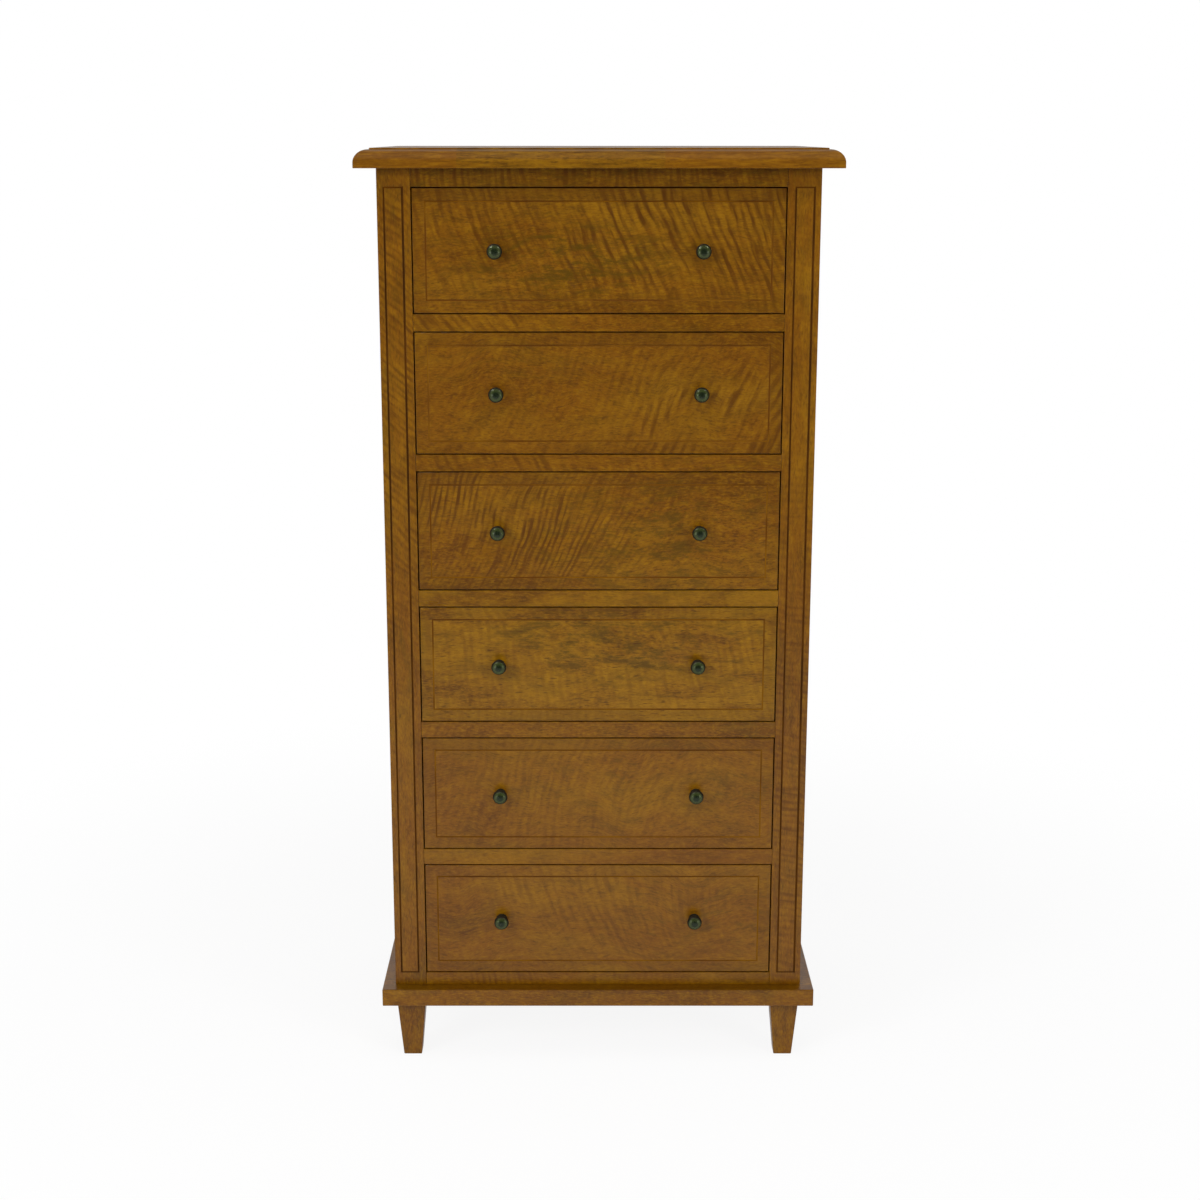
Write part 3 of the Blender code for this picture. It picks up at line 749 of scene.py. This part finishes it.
def bare_wood(name, grain, seed):
    """Planed wood in leaves, with arched growth rings, and its grain along x, y or z."""
    look = bpy.context.scene.chest_inner_wood
    graph = Graph(bpy.data.materials.new(name))
    x, y, z = graph.axes()
    along, across, depth = {"x": (x, y + z, y), "y": (y, z, x), "z": (z, x, y)}[grain]
    place = graph.vector(along, across, depth)
    shift = tuple(seed * stride for stride in BARE_STRIDE)
    leaf = graph.floor(across / look.leaf_width)
    off_middle = across - (leaf + 0.5) * look.leaf_width
    chance = graph.scatter(graph.vector(leaf, seed, 1.0))
    warp = graph.noise(place, (1.6, 14.0, 14.0), shift, 3.0, 0.6)
    arch = (along + chance) * 0.10 + off_middle * off_middle * 7.0 + warp * 0.060
    rings = 0.5 + graph.math("SINE", arch * (2 * math.pi / look.ring_pitch)) * 0.5
    fibre = graph.noise(place, (24.0, 900.0, 900.0), shift, 3.0, 0.6)
    streak = graph.noise(place, (5.0, 150.0, 150.0), shift, 3.0, 0.6)
    grime = graph.noise(place, (4.0, 7.0, 7.0), shift[::-1], 4.0, 0.6)
    late = graph.ramp(rings, 0.45, 0.95) * 0.50 + graph.ramp(streak, 0.48, 0.72) * 0.45
    colour = graph.mix(late, look.pale, look.late)
    colour = graph.mix(graph.ramp(fibre, 0.50, 0.72) * 0.45, colour, look.late)
    colour = graph.mix(chance * 0.22, colour, look.dust)
    colour = graph.mix(graph.ramp(grime, 0.54, 0.80) * 0.28, colour, look.dust)
    return graph.principled({
        "Base Color": colour,
        "Roughness": look.roughness + fibre * 0.15,
        "IOR": look.refraction,
        "Normal": graph.bump(fibre - rings * 0.3, 0.25, 0.0004),
    })


def patinated_bronze(face):
    """Green-grey bronze with a dark tip that is a painted reflection; brown-black and matt from the rim of
    the head back, as tarnish with painted reflection and shade.
    """
    look = bpy.context.scene.chest_bronze
    graph = Graph(bpy.data.materials.new("patinated_bronze"))
    x, y, z = graph.axes()
    place = graph.vector(x, y, z)
    cloud = graph.noise(place, (180.0, 180.0, 180.0), (0.3, 0.6, 0.9), 4.0, 0.6)
    fine = graph.noise(place, (1500.0, 1500.0, 1500.0), (1.3, 0.2, 0.5))
    worn = graph.ramp(cloud, 0.30, 0.60)
    middle = look.head_start + look.head_height / 2
    dome = (face - y - middle) / (look.head_height / 2)
    # Tarnish, with painted reflection of the dark wood on the rim and painted shade under the head.
    rim_tarnish_and_shade = graph.ramp(dome, 0.72, 0.42)
    colour = graph.mix(0.55 + worn * 0.45, look.tarnish_and_shade, look.patina)
    # Painted reflection: the dark tip stands in for the dim room mirrored at the front of the head.
    colour = graph.mix(graph.ramp(dome, 0.80, 0.97), colour, look.tip)
    colour = graph.mix(rim_tarnish_and_shade, colour, look.tarnish_and_shade)
    return graph.principled({
        "Base Color": colour,
        "Metallic": look.metal,
        "IOR": look.refraction,
        "Roughness": look.roughness + (1 - worn) * 0.14 + fine * 0.05 + rim_tarnish_and_shade * 0.40,
        "Normal": graph.bump(cloud + fine * 0.4, 0.10, 0.0003),
    })


def add_object(name, data):
    """A new object in the scene."""
    made = bpy.data.objects.new(name, data)
    bpy.context.scene.collection.objects.link(made)
    return made


def make_piece(name, mesh, node, body, material):
    """Puts a mesh in the scene in place of a node, on its body and with its finish."""
    piece = add_object(name, mesh)
    mesh.materials.append(material)
    mesh.shade_smooth()
    mesh.set_sharp_from_angle(angle=SMOOTH_ANGLE)
    normals = piece.modifiers.new("face normals", "WEIGHTED_NORMAL")
    normals.keep_sharp = True
    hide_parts(node)
    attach(piece, body)
    return piece


def mesh_of(shape, name):
    """A mesh with its faces turned outwards; the shape is used up."""
    bmesh.ops.recalc_face_normals(shape, faces=shape.faces)
    mesh = bpy.data.meshes.new(name)
    shape.to_mesh(mesh)
    shape.free()
    return mesh


def eased_mesh(node, ease, limit):
    """The node's own shape with its long outer edges slightly rounded."""
    shape = bmesh.new()
    shape.from_mesh(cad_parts[node].data)
    bmesh.ops.remove_doubles(shape, verts=shape.verts, dist=WELD)
    bmesh.ops.dissolve_limit(shape, angle_limit=FLAT_ANGLE, verts=shape.verts, edges=shape.edges)
    edges = [
        edge
        for edge in shape.edges
        if edge.is_manifold
        and edge.calc_face_angle_signed() > SHARP_ANGLE
        and edge.calc_length() > limit
    ]
    bmesh.ops.bevel(
        shape, geom=edges, offset=ease, segments=EASE_STEPS, profile=0.5, affect="EDGES",
        clamp_overlap=True,
    )
    return mesh_of(shape, node)


def eased_piece(node, body, material, ease=PLAIN_EASE, limit=PLAIN_LIMIT):
    """A finished piece that follows a node, with eased edges."""
    return make_piece(f"finished_{node}", eased_mesh(node, ease, limit), node, body, material)


def stain_lines(piece, node, upper, others):
    """Stains the uppermost line cut into a piece's front, and its other lines."""
    low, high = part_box(node)
    piece.data.materials.append(upper)
    piece.data.materials.append(others)
    for face in piece.data.polygons:
        x, y, z = face.center
        inside = min(x - low.x, high.x - x, z - low.z, high.z - z) > LINE_MARGIN
        if inside and LINE_SKIN < y - low.y < LINE_REACH:
            face.material_index = 1 if high.z - z < UPPER_LINE else 2


def top_rings(look, low, high):
    """(inset, height) of each ring of the top, from its underside to its flat face."""
    ease = look.ease
    corner = ease * 0.3
    lip_top = low.z + look.lip
    round_top = lip_top + look.round_rise
    step_inset = look.round_run + look.step_run
    rings = [(ease, low.z), (corner, low.z + corner), (0.0, low.z + ease), (0.0, lip_top)]
    for step in range(1, ROUND_STEPS + 1):
        angle = step / ROUND_STEPS * math.pi / 2
        inset = look.round_run * (1 - math.cos(angle))
        rings.append((inset, lip_top + look.round_rise * math.sin(angle)))
    rings += [
        (step_inset, round_top),
        (step_inset, high.z - ease),
        (step_inset + corner, high.z - corner),
        (step_inset + ease, high.z),
    ]
    return rings


def moulded_top_mesh(look):
    """The top, moulded along its front and sides and cut square at the back."""
    low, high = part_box("top_slab")
    shape = bmesh.new()
    loops = []
    for inset, level in top_rings(look, low, high):
        corners = [
            (low.x + inset, low.y + inset),
            (high.x - inset, low.y + inset),
            (high.x - inset, high.y),
            (low.x + inset, high.y),
        ]
        loops.append([shape.verts.new((x, y, level)) for x, y in corners])
    for lower, upper in zip(loops, loops[1:]):
        for index in range(4):
            after = (index + 1) % 4
            shape.faces.new((lower[index], lower[after], upper[after], upper[index]))
    shape.faces.new(loops[0][::-1])
    shape.faces.new(loops[-1])
    return mesh_of(shape, "moulded_top")


def knob_profile(look):
    """(radius, height) points of a knob from the tip of its head to the end of its shank."""
    middle = look.head_start + look.head_height / 2
    neck_angle = math.asin(look.neck_radius / look.head_radius)
    points = []
    for step in range(ROUND_STEPS + 1):
        angle = step / ROUND_STEPS * (math.pi - neck_angle)
        height = middle + look.head_height / 2 * math.cos(angle)
        points.append((look.head_radius * math.sin(angle), height))
    neck_top = points[-1][1]
    neck_drop = neck_top - look.base_height
    cove_run = (look.base_radius - look.neck_radius) * look.cove
    for step in range(1, COVE_STEPS + 1):
        angle = step / COVE_STEPS * math.pi / 2
        radius = look.neck_radius + cove_run * (1 - math.cos(angle))
        points.append((radius, neck_top - neck_drop * math.sin(angle)))
    rim = look.base_height * look.base_rim
    for step in range(RIM_STEPS + 1):
        angle = math.pi / 2 - step / RIM_STEPS * math.pi / 2
        radius = look.base_radius - rim + rim * math.cos(angle)
        points.append((radius, look.base_height - rim + rim * math.sin(angle)))
    points += [
        (look.base_radius, look.base_gap),
        (look.shank_radius, look.base_gap),
        (look.shank_radius, -look.shank_length),
        (0.0, -look.shank_length),
    ]
    return points


def turned_mesh(points, name):
    """A body turned about z from points that run from its tip down."""
    shape = bmesh.new()
    verts = [shape.verts.new((radius, 0.0, height)) for radius, height in points]
    edges = [shape.edges.new(pair) for pair in zip(verts, verts[1:])]
    bmesh.ops.spin(
        shape, geom=verts + edges, axis=(0, 0, 1), cent=(0, 0, 0), angle=2 * math.pi,
        steps=KNOB_SIDES, use_merge=True,
    )
    bmesh.ops.remove_doubles(shape, verts=shape.verts, dist=WELD)
    return mesh_of(shape, name)


class CHEST_OT_moulded_top(bpy.types.Operator):
    """Make the moulded top with its staves"""

    bl_idname = "chest.moulded_top"
    bl_label = "Moulded top"

    def execute(self, context):
        mesh = moulded_top_mesh(context.scene.chest_top)
        make_piece("moulded_top", mesh, "top_slab", CASE, top_veneer())
        return {"FINISHED"}


class CHEST_OT_case_walls(bpy.types.Operator):
    """Finish the sides, the stiles and the back of the case"""

    bl_idname = "chest.case_walls"
    bl_label = "Case walls"

    def execute(self, context):
        look = context.scene.chest_veneer
        stain = line_stain("stile_line_stain", look.umber, look.russet)
        for index, hand in enumerate(HANDS):
            side = upright_veneer(f"{hand}_side_veneer", SIDE_FIGURE, SIDE_SEED + index)
            eased_piece(f"{hand}_side_panel", CASE, side)
            node = f"{hand}_front_stile"
            veneer = stile_veneer(hand, STILE_SEED + index)
            stile = eased_piece(node, CASE, veneer, limit=STILE_LIMIT)
            stain_lines(stile, node, stain, stain)
        eased_piece("back_panel", CASE, bare_wood("back_panel_wood", "z", seed=1))
        return {"FINISHED"}


class CHEST_OT_rails(bpy.types.Operator):
    """Finish the rails and the boards behind them"""

    bl_idname = "chest.rails"
    bl_label = "Rails"

    def execute(self, context):
        for index, (node, figure) in enumerate(RAIL_FIGURES.items()):
            veneer = rail_veneer(f"{node}_veneer", figure, RAIL_SEED + index)
            eased_piece(node, CASE, veneer, ease=RAIL_EASE)
        return {"FINISHED"}


class CHEST_OT_base(bpy.types.Operator):
    """Finish the plinth and the four feet"""

    bl_idname = "chest.base"
    bl_label = "Plinth and feet"

    def execute(self, context):
        eased_piece("plinth_board", CASE, plinth_veneer())
        foot = upright_veneer("foot_veneer", FOOT_FIGURE, FOOT_SEED)
        for end in ("front", "back"):
            for hand in HANDS:
                eased_piece(f"foot_{end}_{hand}", CASE, foot)
        return {"FINISHED"}


class CHEST_OT_drawer_fronts(bpy.types.Operator):
    """Veneer the six drawer fronts and stain their border lines"""

    bl_idname = "chest.drawer_fronts"
    bl_label = "Drawer fronts"

    def execute(self, context):
        look = context.scene.chest_veneer
        upper = line_stain("upper_line_stain", look.umber, look.russet)
        others = line_stain("other_line_stain", look.russet, look.honey)
        for number in DRAWERS:
            body = f"drawer_{number}"
            node = f"{body}_front"
            veneer = drawer_front_veneer(number)
            front = eased_piece(node, body, veneer, FRONT_EASE, DRAWER_LIMIT)
            stain_lines(front, node, upper, others)
        return {"FINISHED"}


class CHEST_OT_drawer_boxes(bpy.types.Operator):
    """Finish the sides, backs and bottoms of the drawers in bare wood"""

    bl_idname = "chest.drawer_boxes"
    bl_label = "Drawer boxes"

    def execute(self, context):
        sides = bare_wood("drawer_side_wood", "y", seed=2)
        across = bare_wood("drawer_back_wood", "x", seed=3)
        woods = {"left_side": sides, "right_side": sides, "back": across, "bottom": across}
        for number in DRAWERS:
            body = f"drawer_{number}"
            for part, wood in woods.items():
                eased_piece(f"{body}_{part}", body, wood, limit=DRAWER_LIMIT)
        return {"FINISHED"}


class CHEST_OT_knobs(bpy.types.Operator):
    """Turn the twelve bronze knobs"""

    bl_idname = "chest.knobs"
    bl_label = "Knobs"

    def execute(self, context):
        bronze = patinated_bronze(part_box("drawer_1_front")[0].y)
        profile = knob_profile(context.scene.chest_bronze)
        stance = Matrix.Rotation(math.pi / 2, 4, "X")
        for number in DRAWERS:
            body = f"drawer_{number}"
            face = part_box(f"{body}_front")[0].y
            for hand in HANDS:
                node = f"{body}_{hand}_knob"
                low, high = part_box(node)
                mesh = turned_mesh(profile, node)
                place = Vector(((low.x + high.x) / 2, face, (low.z + high.z) / 2))
                mesh.transform(Matrix.Translation(place) @ stance)
                make_piece(f"turned_{node}", mesh, node, body, bronze)
        return {"FINISHED"}


def facing(place, target):
    """Rotation that points an object's -z axis from a place to a target."""
    return (Vector(target) - Vector(place)).to_track_quat("-Z", "Y")


def add_soft_box(name, power, place, width):
    """A soft light that faces the middle of the chest and that no surface mirrors."""
    light = bpy.data.lights.new(name, "AREA")
    light.energy = power
    light.size = width
    lamp = add_object(name, light)
    lamp.location = place
    lamp.rotation_euler = facing(place, MIDDLE).to_euler()
    lamp.visible_glossy = False


def add_card(name, place, target, width, height, strength):
    """A glowing card that faces its target and shows only in reflections."""
    graph = Graph(bpy.data.materials.new(name))
    glow = graph.surface("ShaderNodeEmission", {"Color": WHITE, "Strength": strength})
    shape = bmesh.new()
    bmesh.ops.create_grid(shape, x_segments=6, y_segments=2, size=0.5)
    stand = Matrix.Translation(place) @ facing(place, target).to_matrix().to_4x4()
    spread = Matrix.Diagonal((width, height, 1.0, 1.0))
    bmesh.ops.transform(shape, matrix=stand @ spread, verts=shape.verts)
    mesh = mesh_of(shape, name)
    mesh.materials.append(glow)
    card = add_object(name, mesh)
    for kind in CARD_HIDDEN_FROM:
        setattr(card, f"visible_{kind}", False)


def add_camera(stage):
    """The camera at the photograph's place and angle."""
    camera = bpy.data.cameras.new("studio_camera")
    camera.lens = stage.lens
    camera.shift_x = stage.shift
    holder = add_object("studio_camera", camera)
    holder.location = stage.eye
    holder.rotation_euler = (math.pi / 2 - stage.pitch, 0.0, 0.0)
    bpy.context.scene.camera = holder


def floor_material(stage):
    """Pale floor that is lifted to white for the eye and for reflections, and keeps its shadows."""
    graph = Graph(bpy.data.materials.new("studio_floor"))
    x, y, z = graph.axes()
    cloud = graph.noise(graph.vector(x, y, z), (2.0, 2.0, 2.0))
    pale = graph.mix(cloud, stage.floor_shade, stage.floor_light)
    matt = graph.node("ShaderNodeBsdfDiffuse", None, {"Color": pale})
    glow = graph.node("ShaderNodeEmission", None, {"Color": WHITE})
    distance = graph.math("SQRT", x * x + y * y)
    lift = stage.floor_glow + graph.ramp(distance, *FLOOR_WHITE) * (1 - stage.floor_glow)
    direct = graph.ray("Is Camera Ray") + graph.ray("Is Transmission Ray")
    seen = graph.smallest(direct + graph.ray("Is Glossy Ray") * FLOOR_MIRRORED, 1.0)
    return graph.surface("ShaderNodeMixShader", {0: seen * lift, 1: matt, 2: glow})


def add_floor(stage):
    """The floor under the chest and behind it."""
    shape = bmesh.new()
    bmesh.ops.create_grid(shape, x_segments=8, y_segments=8, size=FLOOR_HALF)
    bmesh.ops.translate(shape, vec=FLOOR_CENTRE, verts=shape.verts)
    mesh = mesh_of(shape, "studio_floor")
    mesh.materials.append(floor_material(stage))
    floor = add_object("studio_floor", mesh)


def light_world(stage):
    """White all round to the eye, a soft even level on the chest, and a dim room behind the eye."""
    world = bpy.data.worlds.new("studio")
    bpy.context.scene.world = world
    graph = Graph(world)
    x, y, _ = graph.parts(graph.node("ShaderNodeTexCoord", None, None, "Generated"))
    ahead = graph.ramp(y, -0.10, 0.70) * ROOM_AHEAD
    sides = graph.ramp(abs(x), 0.55, 0.95) * ROOM_SIDES
    room = ROOM_BEHIND + ahead + sides
    level = stage.ambient + graph.ray("Is Glossy Ray") * (room - stage.ambient)
    direct = graph.smallest(graph.ray("Is Camera Ray") + graph.ray("Is Transmission Ray"), 1.0)
    level = level + direct * (1 - level)
    background = graph.node("ShaderNodeBackground", None, {"Color": level})
    graph.node("ShaderNodeOutputWorld", None, {"Surface": background})


class CHEST_OT_stage(bpy.types.Operator):
    """Set up the camera, the lights and the floor"""

    bl_idname = "chest.stage"
    bl_label = "Studio"

    def execute(self, context):
        stage = context.scene.chest_stage
        context.scene.view_settings.view_transform = "Standard"
        add_camera(stage)
        light_world(stage)
        add_floor(stage)
        for name, (place, width) in SOFT_BOXES.items():
            add_soft_box(f"{name}_light", getattr(stage, name), place, width)
        for name, card in CARDS.items():
            add_card(name, *card)
        return {"FINISHED"}


STEPS = (
    CHEST_OT_moulded_top,
    CHEST_OT_case_walls,
    CHEST_OT_rails,
    CHEST_OT_base,
    CHEST_OT_drawer_fronts,
    CHEST_OT_drawer_boxes,
    CHEST_OT_knobs,
    CHEST_OT_stage,
)


class CHEST_PT_panel(bpy.types.Panel):
    """Sidebar list of the steps that finish the chest"""

    bl_idname = "CHEST_PT_panel"
    bl_label = "Tall chest of drawers"
    bl_space_type = "VIEW_3D"
    bl_region_type = "UI"
    bl_category = "Chest"

    def draw(self, context):
        for step in STEPS:
            self.layout.operator(step.bl_idname)


SETTINGS = {
    "chest_veneer": ChestVeneer,
    "chest_inner_wood": ChestInnerWood,
    "chest_bronze": ChestBronze,
    "chest_top": ChestTop,
    "chest_stage": ChestStage,
}
CLASSES = (*SETTINGS.values(), *STEPS, CHEST_PT_panel)


def register():
    for each in CLASSES:
        bpy.utils.register_class(each)
    for name, group in SETTINGS.items():
        setattr(bpy.types.Scene, name, bpy.props.PointerProperty(type=group))


def unregister():
    for name in SETTINGS:
        delattr(bpy.types.Scene, name)
    for each in reversed(CLASSES):
        bpy.utils.unregister_class(each)


def main():
    register()
    for step in STEPS:
        group, name = step.bl_idname.split(".")
        getattr(getattr(bpy.ops, group), name)()


if __name__ == "__main__":
    main()
